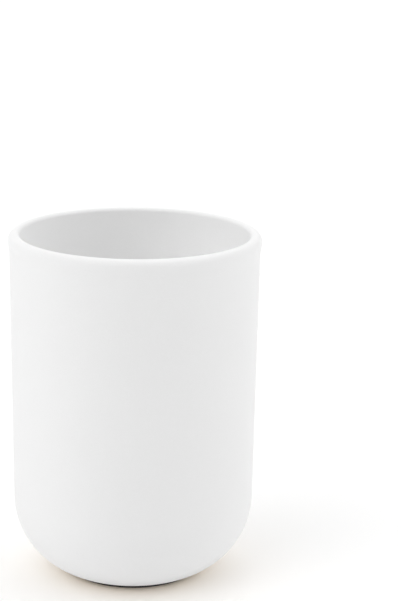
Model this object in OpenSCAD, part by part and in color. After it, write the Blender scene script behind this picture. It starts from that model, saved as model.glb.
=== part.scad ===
// Bathroom tumbler: a plain moulded cup with a softly flared lip and a very round bottom.
// Underneath, a soft non-slip pad is stuck into a shallow recess and carries the cup.
// The origin is the centre of the pad's lower face, on the surface that the cup stands on; +Z is up.

/* [Overall size] */
// Diameter across the lip, which is the widest place
lip_d = 75; // [66:0.5:90]
// Height from the surface it stands on to the top of the lip
height = 104.6; // [80:0.1:140]

/* [Wall and floor] */
// Thickness of the side wall
wall = 3.1; // [2.8:0.1:4.5]
// Thickness of the floor
floor_t = 3.2; // [2.4:0.1:6]
// How far each side draws in between the lip and the base
taper = 1.2; // [0.4:0.1:4]

/* [Lip] */
// How far the lip stands out from the wall
lip_flare = 0.36; // [0.2:0.02:0.6]
// Radius of the two arcs that lead from the wall out to the lip and on up its side
lip_blend = 8; // [6:0.5:12]
// Height of the lip's side, from its widest place up to its top
lip_side = 2.6; // [2.4:0.1:3.4]
// Rounding of the lip's outer edge
lip_edge = 2.1; // [1.2:0.1:2.2]
// Narrow flat that is left along the top of the lip
lip_flat = 0.15; // [0.1:0.05:0.4]

/* [Round bottom] */
// Outer radius between the wall and the base
bottom_round = 24; // [16:0.5:28]
// How much smaller the inner radius is than an evenly thick corner would make it
inner_draw = 0.7; // [0:0.1:3]
// How much of the outer round's depth the flat base cuts away
base_cut = 1.6; // [1:0.1:2.2]

/* [Foot pad] */
// Width of the base's flat rim around the recess
base_rim = 1.1; // [0.9:0.1:4]
// Depth of the recess that holds the pad
recess_depth = 0.8; // [0.4:0.1:1.4]
// Clearance around the pad in its recess
pad_gap = 0.15; // [0.1:0.05:0.6]
// How far the pad stands out below the base
pad_proud = 1.1; // [0.3:0.1:1.5]
// Thickness of the adhesive film above the pad
film_t = 0.2; // [0.1:0.05:0.3]
// How far the film's edge stays inside the pad's edge
film_inset = 0.5; // [0.2:0.1:2]

/* [Hidden] */
$fn = 180;
// How far a round runs past each line that it touches, so that the two join cleanly
seam = 0.0005;

// Levels, from the standing surface up
base_z = pad_proud;
recess_z = base_z + recess_depth;
floor_z = base_z + floor_t;
lip_z = height - lip_side;

// The outer wall is a straight line that leans out; it would reach wall_top_r at lip_z
lip_r = lip_d / 2;
wall_top_r = lip_r - lip_flare;
lean = atan(taper / (lip_z - base_z));
function outer_r(z) = wall_top_r - (lip_z - z) * tan(lean);
function inner_r(z) = outer_r(z) - wall / cos(lean);

// Centre of the outer round, which touches the wall's line, and of the inner one, which touches the floor too
round_z = base_z - base_cut + bottom_round;
round_x = outer_r(round_z) - bottom_round / cos(lean);
inner_round = bottom_round - wall - inner_draw;
inner_z = floor_z + inner_round;
inner_x = inner_r(inner_z) - inner_round / cos(lean);

// The lip's two equal arcs touch the wall's line and the lip's side, and meet halfway between their centres.
// drop is the height between the centres: the root of (reach - drop * tan)^2 + drop^2 = (2 * lip_blend)^2.
reach = lip_blend + lip_blend / cos(lean) - lip_flare;
drop = cos(lean) * (reach * sin(lean)
    + sqrt(pow(2 * lip_blend, 2) - pow(reach * cos(lean), 2)));
swell = [lip_r - lip_blend, lip_z];
hollow = [swell.x + reach - drop * tan(lean), lip_z - drop];
neck = hollow + lip_blend * [-cos(lean), sin(lean)];

// The lip's outer edge is rounded by an arc that touches the upper of the two, the swell, and the lip's flat
edge_z = height - lip_edge;
edge_x = swell.x + sqrt(pow(lip_blend - lip_edge, 2) - pow(edge_z - lip_z, 2));

// The mouth's rounding touches the lip's flat and the inner wall's line
mouth_x = edge_x - lip_flat;
mouth_round = (mouth_x - inner_r(height)) / (1 / cos(lean) - tan(lean));

// Radii of the base, of the recess in it and of what the recess holds
base_r = round_x + sqrt(pow(bottom_round, 2) - pow(bottom_round - base_cut, 2));
recess_r = base_r - base_rim;
pad_r = recess_r - pad_gap;
film_r = pad_r - film_inset;

// Where a round of radius r about centre c touches the wall's line
function touch(c, r) = c + r * [cos(lean), -sin(lean)];

// Half section of the outer form, filled to the axis
module outer_section() {
    difference() {
        union() {
            // The round bottom, cut flat at the base
            intersection() {
                translate([round_x, round_z])
                    circle(r = bottom_round + seam);
                translate([0, base_z])
                    square([lip_r, 2 * bottom_round]);
            }
            translate([0, base_z])
                square([round_x, round_z - base_z]);
            // The straight wall, up to the lip
            polygon([[0, round_z], [round_x, round_z], touch([round_x, round_z], bottom_round),
                neck, hollow, swell, [0, lip_z]]);
            // The swell, which runs up the lip's side to the rounded edge
            intersection() {
                translate(swell)
                    circle(r = lip_blend);
                polygon([swell, hollow,
                    swell + (hollow.x - swell.x) * [1, (edge_z - lip_z) / (edge_x - swell.x)]]);
            }
            // The lip's rounded outer edge
            translate([0, lip_z])
                square([edge_x, lip_side]);
            intersection() {
                translate([edge_x, edge_z])
                    circle(r = lip_edge + seam);
                translate([0, lip_z])
                    square([lip_r, lip_side]);
            }
        }
        // The hollow arc under the lip
        translate(hollow)
            circle(r = lip_blend + seam);
    }
}

// Half section of the space inside, which runs out past the top by the wall's thickness
module inner_section() {
    open_z = height + wall;
    mouth = [mouth_x, height - mouth_round];
    wall_end = mouth.y + mouth_round * sin(lean);
    // The flat floor and the round beside it
    translate([0, floor_z])
        square([inner_x, inner_round]);
    intersection() {
        translate([inner_x, inner_z])
            circle(r = inner_round + seam);
        translate([0, floor_z])
            square([lip_r, 2 * inner_round]);
    }
    // The straight inner wall
    polygon([[0, inner_z], [inner_x, inner_z], touch([inner_x, inner_z], inner_round),
        [inner_r(open_z), open_z], [0, open_z]]);
    // The rounded edge of the mouth
    difference() {
        translate([0, wall_end])
            square([mouth.x, open_z - wall_end]);
        translate(mouth)
            circle(r = mouth_round + seam);
    }
}

// The cup: one moulded piece, with the recess for the pad in its base
module tumbler_body() {
    color([0.93, 0.93, 0.93])
        difference() {
            rotate_extrude()
                difference() {
                    outer_section();
                    inner_section();
                }
            cylinder(r = recess_r, h = recess_z);
        }
}

// Double-sided adhesive film between the recess and the pad
module pad_adhesive() {
    color([0.86, 0.83, 0.72])
        translate([0, 0, recess_z - film_t])
            cylinder(r = film_r, h = film_t);
}

// Soft non-slip pad, which carries the cup
module foot_pad() {
    color([0.22, 0.22, 0.23])
        cylinder(r = pad_r, h = recess_z - film_t);
}

tumbler_body();
pad_adhesive();
foot_pad();
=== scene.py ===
import math

import bpy
import numpy as np
from mathutils import Matrix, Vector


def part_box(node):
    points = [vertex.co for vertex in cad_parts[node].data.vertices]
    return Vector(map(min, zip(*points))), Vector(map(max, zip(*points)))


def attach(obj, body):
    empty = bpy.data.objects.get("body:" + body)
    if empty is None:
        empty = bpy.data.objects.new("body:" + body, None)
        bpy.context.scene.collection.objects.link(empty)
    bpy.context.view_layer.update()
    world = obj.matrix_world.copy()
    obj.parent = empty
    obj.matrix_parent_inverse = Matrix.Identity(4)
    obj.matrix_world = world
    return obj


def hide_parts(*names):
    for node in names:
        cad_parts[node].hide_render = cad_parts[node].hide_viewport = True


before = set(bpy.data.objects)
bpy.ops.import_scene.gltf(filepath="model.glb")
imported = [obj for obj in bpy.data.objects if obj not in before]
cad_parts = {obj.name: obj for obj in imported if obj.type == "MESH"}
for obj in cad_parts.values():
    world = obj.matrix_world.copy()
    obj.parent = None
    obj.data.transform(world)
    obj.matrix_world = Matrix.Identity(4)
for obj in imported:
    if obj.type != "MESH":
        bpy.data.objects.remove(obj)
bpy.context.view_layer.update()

# The tumbler is one moulding in plain white soft-touch plastic: a straight wall that leans out a little,
# a softly flared lip with rounded edges, and a very round bottom with a shallow recess under its flat
# base. It is turned here from the same half section as the frame's, with the edges at its base eased.
mm = 0.001
body_low, body_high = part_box("tumbler_body")
pad_low, pad_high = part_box("foot_pad")
film_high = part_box("pad_adhesive")[1]
lip_r = body_high.x
top_z = body_high.z
base_z = body_low.z
recess_z = film_high.z
pad_r = pad_high.x
wall = 3.1 * mm
floor_t = 3.2 * mm
# How far the wall draws in between the lip and the base, and how far the lip stands out from it
taper = 1.2 * mm
lip_flare = 0.36 * mm
# The radius of the two arcs that lead from the wall out to the lip's side, the height of that side, the
# rounding of the lip's outer edge, and the narrow flat along its top
lip_blend = 8.0 * mm
lip_side = 2.6 * mm
lip_edge = 2.1 * mm
lip_flat = 0.15 * mm
# The outer radius between the wall and the base, how much smaller the inner one is than an evenly thick
# corner would make it, and how much of the outer round's depth the flat base cuts away
bottom_round = 24.0 * mm
inner_draw = 0.7 * mm
base_cut = 1.6 * mm
# The clearance round the pad in its recess
pad_gap = 0.15 * mm
# The eased edges: between the base and the round bottom, at the recess's mouth, and in its corner
base_ease = 1.5 * mm
recess_ease = 0.2 * mm
corner_ease = 0.15 * mm
# How far inside a true circle the mesh may run, how a straight line is stepped, and the distance within
# which two points are one
chord_gap = 0.002 * mm
line_step = 3.0 * mm
least_steps = 4
same_point = 0.0001 * mm

floor_z = base_z + floor_t
lip_z = top_z - lip_side
wall_top_r = lip_r - lip_flare
lean = math.atan(taper / (lip_z - base_z))
slope = math.tan(lean)
upright = math.cos(lean)


def outer_r(z):
    """The outer wall's radius: its radius at the lip, less the height below the lip times the slope."""
    return wall_top_r - (lip_z - z) * slope


def inner_r(z):
    """The inner wall's radius: the outer one, less the wall's thickness measured level."""
    return outer_r(z) - wall / upright


# The two rounds at the bottom touch the lines of their walls, and the inner one touches the floor too.
round_z = base_z - base_cut + bottom_round
round_x = outer_r(round_z) - bottom_round / upright
inner_round = bottom_round - wall - inner_draw
inner_z = floor_z + inner_round
inner_x = inner_r(inner_z) - inner_round / upright

# The lip's two equal arcs, swell and hollow, touch the lip's side and the wall's line, and each other.
reach = lip_blend + lip_blend / upright - lip_flare
drop = upright * (reach * math.sin(lean) + math.sqrt((2 * lip_blend) ** 2 - (reach * upright) ** 2))
swell = (lip_r - lip_blend, lip_z)
hollow = (swell[0] + reach - drop * slope, lip_z - drop)
arcs_meet = math.atan2(-drop, hollow[0] - swell[0])

# The lip's outer edge is an arc that touches the swell and the lip's flat. The mouth's rounding touches
# the flat and the inner wall's line.
edge_z = top_z - lip_edge
edge_x = swell[0] + math.sqrt((lip_blend - lip_edge) ** 2 - (edge_z - lip_z) ** 2)
edge_start = math.atan2(edge_z - lip_z, edge_x - swell[0])
mouth_x = edge_x - lip_flat
mouth_round = (mouth_x - inner_r(top_z)) / (1 / upright - slope)
recess_r = pad_r + pad_gap

# The edge between the base and the round bottom is eased by an arc that touches both.
ease_z = base_z + base_ease
ease_x = round_x + math.sqrt((bottom_round - base_ease) ** 2 - (round_z - ease_z) ** 2)
ease_end = math.atan2(ease_z - round_z, ease_x - round_x)


def chords(radius, turn):
    """How many equal chords keep within chord_gap of a circle over that turn of it: the turn over the
    angle between two points whose chord is that far inside, which is twice the arc cosine of 1 less
    chord_gap over the radius."""
    return math.ceil(abs(turn) / (2 * math.acos(1 - chord_gap / radius)))


def arc(centre, radius, start, end):
    """Points on a circle: the centre plus the radius times the cosine and sine of evenly spaced angles,
    in radians."""
    angle = np.linspace(start, end, chords(radius, end - start) + 1)
    return np.stack([centre[0] + radius * np.cos(angle), centre[1] + radius * np.sin(angle)], axis=1)


def line(start, end):
    """Points on a line, closer together near its two ends: start plus (end minus start) times
    (1 - cos t) / 2. It has least_steps steps, and one more for each line_step of its length."""
    steps = least_steps + int(math.dist(start, end) / line_step)
    share = (1 - np.cos(np.linspace(0, math.pi, steps + 1))) / 2
    return np.array(start) + (np.array(end) - np.array(start)) * share[:, None]


def turned(name, section):
    """A closed half section turned about the upright axis. A vertex is (r cos a, r sin a, z) for each
    point (r, z) of the section and each of the evenly spaced angles a. The section's two ends lie on
    the axis and are poles."""
    apart = np.linalg.norm(np.diff(section, axis=0), axis=1) > same_point
    section = section[np.r_[True, apart]]
    radius, height = section[1:-1].T
    rings = len(radius)
    around = chords(radius.max(), 2 * math.pi)
    angle = np.arange(around) * (2 * math.pi / around)
    grid = np.stack([radius[:, None] * np.cos(angle), radius[:, None] * np.sin(angle),
                     np.repeat(height[:, None], around, axis=1)], axis=2).reshape(-1, 3)
    poles = [(0.0, 0.0, section[0][1]), (0.0, 0.0, section[-1][1])]
    index = np.arange(rings * around).reshape(rings, around)
    beside = np.roll(index, -1, axis=1)
    quads = np.stack([index[:-1], beside[:-1], beside[1:], index[1:]], axis=-1).reshape(-1, 4)
    first = np.stack([np.full(around, rings * around), beside[0], index[0]], axis=1)
    last = np.stack([np.full(around, rings * around + 1), index[-1], beside[-1]], axis=1)
    faces = quads.tolist() + first.tolist() + last.tolist()
    mesh = bpy.data.meshes.new(name)
    mesh.from_pydata(np.vstack([grid, poles]).tolist(), [], faces)
    mesh.validate()
    mesh.shade_smooth()
    piece = bpy.data.objects.new(name, mesh)
    bpy.context.scene.collection.objects.link(piece)
    return piece


# The half section runs from the axis out under the recess, round the base and up the outside, over the
# lip, and down the inside to the axis again.
quarter = math.pi / 2
tumbler_section = np.vstack([
    line((0, recess_z), (recess_r - corner_ease, recess_z)),
    arc((recess_r - corner_ease, recess_z - corner_ease), corner_ease, quarter, 0),
    line((recess_r, recess_z - corner_ease), (recess_r, base_z + recess_ease)),
    arc((recess_r + recess_ease, base_z + recess_ease), recess_ease, 2 * quarter, 3 * quarter),
    line((recess_r + recess_ease, base_z), (ease_x, base_z)),
    arc((ease_x, ease_z), base_ease, -quarter, ease_end),
    arc((round_x, round_z), bottom_round, ease_end, -lean),
    line((round_x + bottom_round * upright, round_z - bottom_round * math.sin(lean)),
         (hollow[0] - lip_blend * upright, hollow[1] + lip_blend * math.sin(lean))),
    arc(hollow, lip_blend, 2 * quarter - lean, 2 * quarter + arcs_meet),
    arc(swell, lip_blend, arcs_meet, edge_start),
    arc((edge_x, edge_z), lip_edge, edge_start, quarter),
    line((edge_x, top_z), (mouth_x, top_z)),
    arc((mouth_x, top_z - mouth_round), mouth_round, quarter, 2 * quarter - lean),
    line((mouth_x - mouth_round * upright, top_z - mouth_round + mouth_round * math.sin(lean)),
         (inner_x + inner_round * upright, inner_z - inner_round * math.sin(lean))),
    arc((inner_x, inner_z), inner_round, -lean, -quarter),
    line((inner_x, floor_z), (0, floor_z)),
])
tumbler = turned("tumbler", tumbler_section)


class Wire:
    """A socket in a node tree. Sums on wires add Math nodes, and a plain number beside one is typed in."""

    def __init__(self, tree, socket=None):
        self.tree = tree
        self.socket = socket

    def node(self, kind, inputs, settings=None, output=0):
        """Adds a node of that kind, with its settings first and then its inputs, wires or values, and
        gives one of its outputs as a wire."""
        node = self.tree.nodes.new(kind)
        for name, value in (settings or {}).items():
            setattr(node, name, value)
        for name, value in inputs.items():
            if isinstance(value, Wire):
                self.tree.links.new(value.socket, node.inputs[name])
            else:
                node.inputs[name].default_value = value
        return Wire(self.tree, node.outputs[output])

    def maths(self, operation, *terms):
        """A Math node with that operation on the terms, which are wires or numbers."""
        return self.node("ShaderNodeMath", dict(enumerate(terms)), {"operation": operation})

    def __add__(self, other):
        return self.maths("ADD", self, other)

    __radd__ = __add__

    def __sub__(self, other):
        return self.maths("SUBTRACT", self, other)

    def __rsub__(self, other):
        return self.maths("SUBTRACT", other, self)

    def __mul__(self, other):
        return self.maths("MULTIPLY", self, other)

    __rmul__ = __mul__

    def at_least(self, other):
        """The greater of the two."""
        return self.maths("MAXIMUM", self, other)

    def power(self, exponent):
        return self.maths("POWER", self, exponent)

    def ramp(self, low, high):
        """0 below low, 1 above high, and an even smooth rise between them."""
        return self.node("ShaderNodeMapRange", {"Value": self, "From Min": low, "From Max": high},
                         {"interpolation_type": "SMOOTHSTEP"})

    def between(self, first, second):
        """The colour that lies this share of the way from the first to the second. Inputs 6 and 7 of a
        Mix node are its two colours, and its output 2 is the colour between them."""
        return self.node("ShaderNodeMix", {0: self, 6: first, 7: second}, {"data_type": "RGBA"}, output=2)


def finish_of(name):
    """A new material, its Principled shader, and a wire with the Object coordinates."""
    material = bpy.data.materials.new(name)
    material.use_nodes = True
    shader = material.node_tree.nodes["Principled BSDF"]
    place = Wire(material.node_tree).node("ShaderNodeTexCoord", {}, output="Object")
    return material, shader, place


def noise(place, size, detail=2.0):
    """Soft noise from 0 to 1 whose features are about that size in metres."""
    return place.node("ShaderNodeTexNoise", {"Vector": place, "Scale": 1 / size, "Detail": detail})


def relief(height):
    """The normal of a surface that stands out by that height, a wire in millimetres."""
    return height.node("ShaderNodeBump", {"Height": height, "Distance": mm, "Strength": 1.0})


def feed(shader, **inputs):
    """Links or types values into a shader's sockets. An underscore in a name stands for a space."""
    for name, value in inputs.items():
        socket = shader.inputs[name.replace("_", " ")]
        if isinstance(value, Wire):
            value.tree.links.new(value.socket, socket)
        else:
            socket.default_value = value


def soft_touch():
    """Plain white plastic with a fine even grain from its mould. Painted shade makes it a little greyer in
    the grain's pits. It is smoother where the lip is handled, and greyer and rougher at the foot, where it
    is set down."""
    grain_size, pore_size, cloud_size, wave_size = 0.2 * mm, 0.5 * mm, 30 * mm, 9 * mm
    grain_depth, wave_depth = 0.045 * mm, 0.02 * mm
    handled_down, scuffed_up = 12 * mm, 2.5 * mm
    # The pit colour is painted shade for the grain's pits; the crown colour is the plastic's own white.
    painted_pit_shade, crown = (0.878, 0.878, 0.877, 1), (0.974, 0.974, 0.974, 1)
    grain_pit_shade_share, pore_share, cloud_share, scuff_share = 0.7, 0.2, 0.1, 0.06
    roughness, pore_rough, handled_smooth, scuff_rough = 0.50, 0.10, 0.07, 0.1
    plastic_ior = 1.46
    material, shader, place = finish_of("soft_touch_white")
    height = place.node("ShaderNodeSeparateXYZ", {0: place}, output="Z")
    handled = height.ramp(top_z - handled_down, top_z)
    scuffed = 1 - height.ramp(base_z, base_z + scuffed_up)
    grain = noise(place, grain_size)
    pores = noise(place, pore_size)
    cloud = noise(place, cloud_size)
    wave = noise(place, wave_size, detail=0.0)
    # The grain's share of this is painted shade in its pits; the pores and the cloud are the plastic's own
    # uneven tone, and the scuffs are wear at the foot.
    pit_shade_tone_and_wear = grain * grain_pit_shade_share + pores * pore_share + cloud * cloud_share - scuffed * scuff_share
    feed(shader, Base_Color=pit_shade_tone_and_wear.between(painted_pit_shade, crown),
         Roughness=roughness + pores * pore_rough - handled * handled_smooth + scuffed * scuff_rough,
         Normal=relief(grain * (grain_depth / mm) + wave * (wave_depth / mm)), IOR=plastic_ior)
    return material


tumbler.data.materials.append(soft_touch())
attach(tumbler, "root")
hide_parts("tumbler_body")

# The double-sided film is a die-cut disc of clear, slightly yellow tape. It is laid in the recess before
# the pad. It stays the frame's own disc, with a finish that has faint streaks and trapped air.
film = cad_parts["pad_adhesive"]


def tape():
    """Yellowish clear-looking tape: streaks along X from the roll and small pale spots of trapped air."""
    streak_size, spot_size = 0.6 * mm, 1.8 * mm
    streak_squeeze = (0.06, 1.0, 1.0)
    spot_edge, spot_full = 0.6, 0.68
    streak_depth, spot_depth = 0.01 * mm, 0.02 * mm
    pale, deep, aired = (0.72, 0.68, 0.52, 1), (0.64, 0.60, 0.44, 1), (0.80, 0.79, 0.72, 1)
    roughness, aired_rough = 0.28, 0.2
    material, shader, place = finish_of("yellowish_tape")
    along = place.node("ShaderNodeVectorMath", {0: place, 1: streak_squeeze}, {"operation": "MULTIPLY"})
    streaks = noise(along, streak_size)
    air = noise(place, spot_size).ramp(spot_edge, spot_full)
    feed(shader, Base_Color=air.between(streaks.between(pale, deep), aired),
         Roughness=roughness + air * aired_rough,
         Normal=relief(streaks * (streak_depth / mm) + air * (spot_depth / mm)))
    return material


film.data.materials.clear()
film.data.materials.append(tape())

# The foot pad is a disc of dark grey soft rubber, cut from sheet with a slightly eased edge. It is stuck
# into the recess by the film, stands a little proud of the base, and keeps the tumbler from slipping.
# The pad is sized so that its dark side shows as a thin, very dark line just under the base's edge, where
# it stands in for the contact shade there as well as being the foot.
pad_ease = 0.12 * mm
pad_section = np.vstack([
    line((0, pad_low.z), (pad_r - pad_ease, pad_low.z)),
    arc((pad_r - pad_ease, pad_low.z + pad_ease), pad_ease, -quarter, 0),
    line((pad_r, pad_low.z + pad_ease), (pad_r, pad_high.z - pad_ease)),
    arc((pad_r - pad_ease, pad_high.z - pad_ease), pad_ease, 0, quarter),
    line((pad_r - pad_ease, pad_high.z), (0, pad_high.z)),
])
pad = turned("rubber_foot_pad", pad_section)


def pad_rubber():
    """Matt dark grey rubber with a pebbled skin, with painted shade that darkens the pits between its
    pebbles.
    """
    pebble_size, cloud_size, pebble_depth = 0.42 * mm, 6 * mm, 0.06 * mm
    # The pit colour is painted shade between the pebbles; the crown colour is the rubber's own dark grey.
    crown, painted_pit_shade = (0.068, 0.064, 0.061, 1), (0.018, 0.016, 0.015, 1)
    pebble_pit_shade_share, cloud_share = 0.9, 0.2
    roughness, cloud_rough = 0.64, 0.12
    material, shader, place = finish_of("pebbled_rubber")
    pebbles = place.node("ShaderNodeTexVoronoi", {"Vector": place, "Scale": 1 / pebble_size},
                         {"feature": "SMOOTH_F1"})
    cloud = noise(place, cloud_size)
    feed(shader, Base_Color=(pebbles * pebble_pit_shade_share + cloud * cloud_share).between(crown, painted_pit_shade),
         Roughness=roughness + cloud * cloud_rough, Normal=relief(pebbles * (-pebble_depth / mm)))
    return material


pad.data.materials.append(pad_rubber())
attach(pad, "root")
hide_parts("foot_pad")

# The tumbler stands on a wide, plain, pale floor, nearly white. A faint warm tint is painted close round
# its foot, and stands in for the warm colour of the shade there. What the camera sees of the floor is a
# little paler than what it throws back on the tumbler.
floor_half = 8.0
floor_below = 0.02 * mm
floor_mesh = bpy.data.meshes.new("floor")
floor_mesh.from_pydata([(-floor_half, -floor_half, -floor_below), (floor_half, -floor_half, -floor_below),
                        (floor_half, floor_half, -floor_below), (-floor_half, floor_half, -floor_below)],
                       [], [(0, 1, 2, 3)])
floor = bpy.data.objects.new("floor", floor_mesh)
bpy.context.scene.collection.objects.link(floor)


def looked_at(wire):
    """1 for a ray that looks, straight or by way of a shine or something clear, and 0 for one that
    lights."""
    camera, shine, clear = [wire.node("ShaderNodeLightPath", {}, output=name) for name in
                            ("Is Camera Ray", "Is Glossy Ray", "Is Transmission Ray")]
    return camera.at_least(shine).at_least(clear)


# The floor's own colour, the warm tint painted at the pad's edge for the shade there, the power of the
# distance from the axis with which that painted tint falls off, what the floor throws back, and the small
# glow that rays that look at it see
floor_plain = (1.0, 1.0, 1.0, 1)
warm_shade_tint = (1.0, 0.86, 0.69, 1)
painted_shade_falloff = -3
floor_thrown = (0.935, 0.935, 0.935, 1)
floor_glow = 0.04
material, shader, place = finish_of("pale_floor")
away = place.node("ShaderNodeVectorMath", {0: place}, {"operation": "LENGTH"}, output="Value")
painted_shade_warmth = (away.at_least(pad_r) * (1 / pad_r)).power(painted_shade_falloff)
seen = looked_at(place)
feed(shader, Base_Color=seen.between(floor_thrown, painted_shade_warmth.between(floor_plain, warm_shade_tint)),
     Roughness=1.0, Specular_IOR_Level=0.0, Emission_Color=seen, Emission_Strength=floor_glow)
floor_mesh.materials.append(material)

# The light is a tent with eight large soft panels, which the camera sees as plain white. Each panel is
# strongest along its own direction and fades evenly away from it. It is given as its bearing from the
# front round by the right and its height above the horizon, both in degrees, and its strength.
panels = [(90, 12, 1.7), (225, 12, 0.3), (315, 12, 0.85), (90, 45, 1.25), (180, 45, 1.45), (270, 45, 1.0),
          (315, 45, 1.6), (0, 90, 0.75)]
sharpness = 8
tent_white = (1, 1, 1, 1)
world = bpy.data.worlds.new("studio")
bpy.context.scene.world = world
world.use_nodes = True
sky = Wire(world.node_tree)
# In a world, the Generated output is the direction that is looked along.
way = sky.node("ShaderNodeTexCoord", {}, output="Generated")
light = 0
for bearing, rise, strength in panels:
    level = math.cos(math.radians(rise))
    axis = (level * math.sin(math.radians(bearing)), -level * math.cos(math.radians(bearing)),
            math.sin(math.radians(rise)))
    towards = sky.node("ShaderNodeVectorMath", {0: way, 1: axis}, {"operation": "DOT_PRODUCT"},
                       output="Value")
    light = light + strength * towards.at_least(0.0).power(sharpness)
plain = looked_at(sky)
feed(world.node_tree.nodes["Background"], Color=tent_white, Strength=light + plain * (1 - light))

# The camera looks down on the tumbler from a little right of its front, and is rolled by a slight tilt.
# Its place is in metres, its angles are in degrees, and its lens and sensor are in millimetres.
camera_place = (0.01959, -0.57749, 0.23356)
look_down = 14.524
tilt = 0.904
lens = 120
sensor = 36
camera = bpy.data.objects.new("camera", bpy.data.cameras.new("camera"))
bpy.context.scene.collection.objects.link(camera)
camera.data.sensor_width = sensor
camera.data.lens = lens
camera.matrix_world = (Matrix.Translation(camera_place)
                       @ Matrix.Rotation(math.radians(90 - look_down), 4, "X")
                       @ Matrix.Rotation(math.radians(tilt), 4, "Z"))
bpy.context.scene.camera = camera
bpy.context.scene.view_settings.view_transform = "Standard"
# Much of the light inside a white tumbler has bounced many times, so many bounces are followed.
bpy.context.scene.cycles.diffuse_bounces = 12
